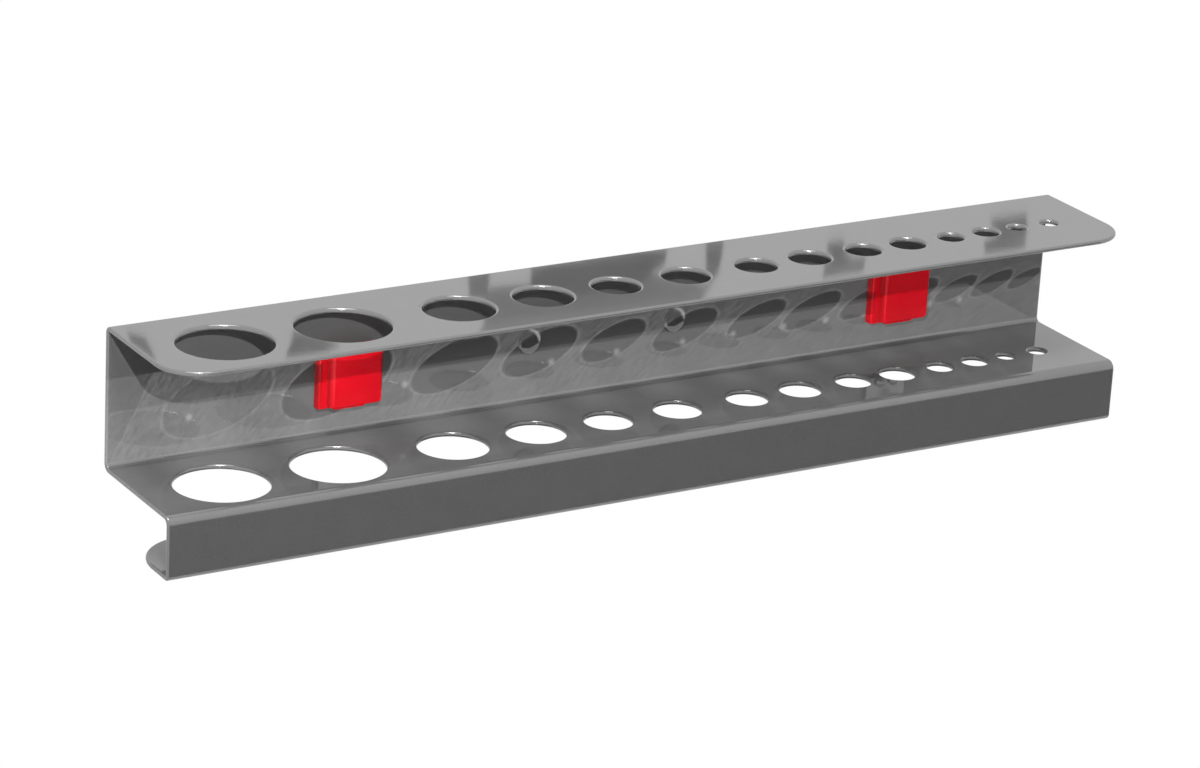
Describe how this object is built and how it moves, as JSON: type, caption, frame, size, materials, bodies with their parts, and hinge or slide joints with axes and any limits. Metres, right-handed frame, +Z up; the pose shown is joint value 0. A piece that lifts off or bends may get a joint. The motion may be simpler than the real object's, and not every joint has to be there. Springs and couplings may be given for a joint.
{
  "type": "pegboard tool holder",
  "caption": "Bent steel shelf with two aligned rows of graded tool holes, hung on a perforated board by two hooks that red sliding locks secure.",
  "frame": {"origin": "midway between the back panel's two dimples, on its rear face", "axes": "+X along the holder towards its smallest holes, +Y into the wall or board, +Z up"},
  "size_m": [0.45, 0.067, 0.0853],
  "materials": {
    "coated_sheet": "smooth glossy grey powder coat",
    "red_housing": "gloss moulded red plastic",
    "red_slide": "gloss moulded red plastic",
    "zinc_steel": "zinc-plated pressed steel",
    "rivet_steel": "satin steel",
    "spring_steel": "drawn spring wire"
  },
  "bodies": {
    "holder": {"holder_shelf": "coated_sheet", "left_board_hook": "zinc_steel", "left_outer_rivet": "rivet_steel", "left_inner_rivet": "rivet_steel", "left_clip_housing": "red_housing", "left_return_spring": "spring_steel", "right_board_hook": "zinc_steel", "right_outer_rivet": "rivet_steel", "right_inner_rivet": "rivet_steel", "right_clip_housing": "red_housing", "right_return_spring": "spring_steel"},
    "left_slide": {"left_lock_slide": "red_slide"},
    "right_slide": {"right_lock_slide": "red_slide"}
  },
  "joints": [
    {"name": "left_lock", "type": "slide", "parent": "holder", "child": "left_slide", "axis": [0, 0, -1], "range_m": [0, 0.0045], "stiffness_N_per_m": 300, "springref_m": -0.004, "deforming": ["left_return_spring"]},
    {"name": "right_lock", "type": "slide", "parent": "holder", "child": "right_slide", "axis": [0, 0, -1], "range_m": [0, 0.0045], "stiffness_N_per_m": 300, "springref_m": -0.004, "deforming": ["right_return_spring"]}
  ]
}
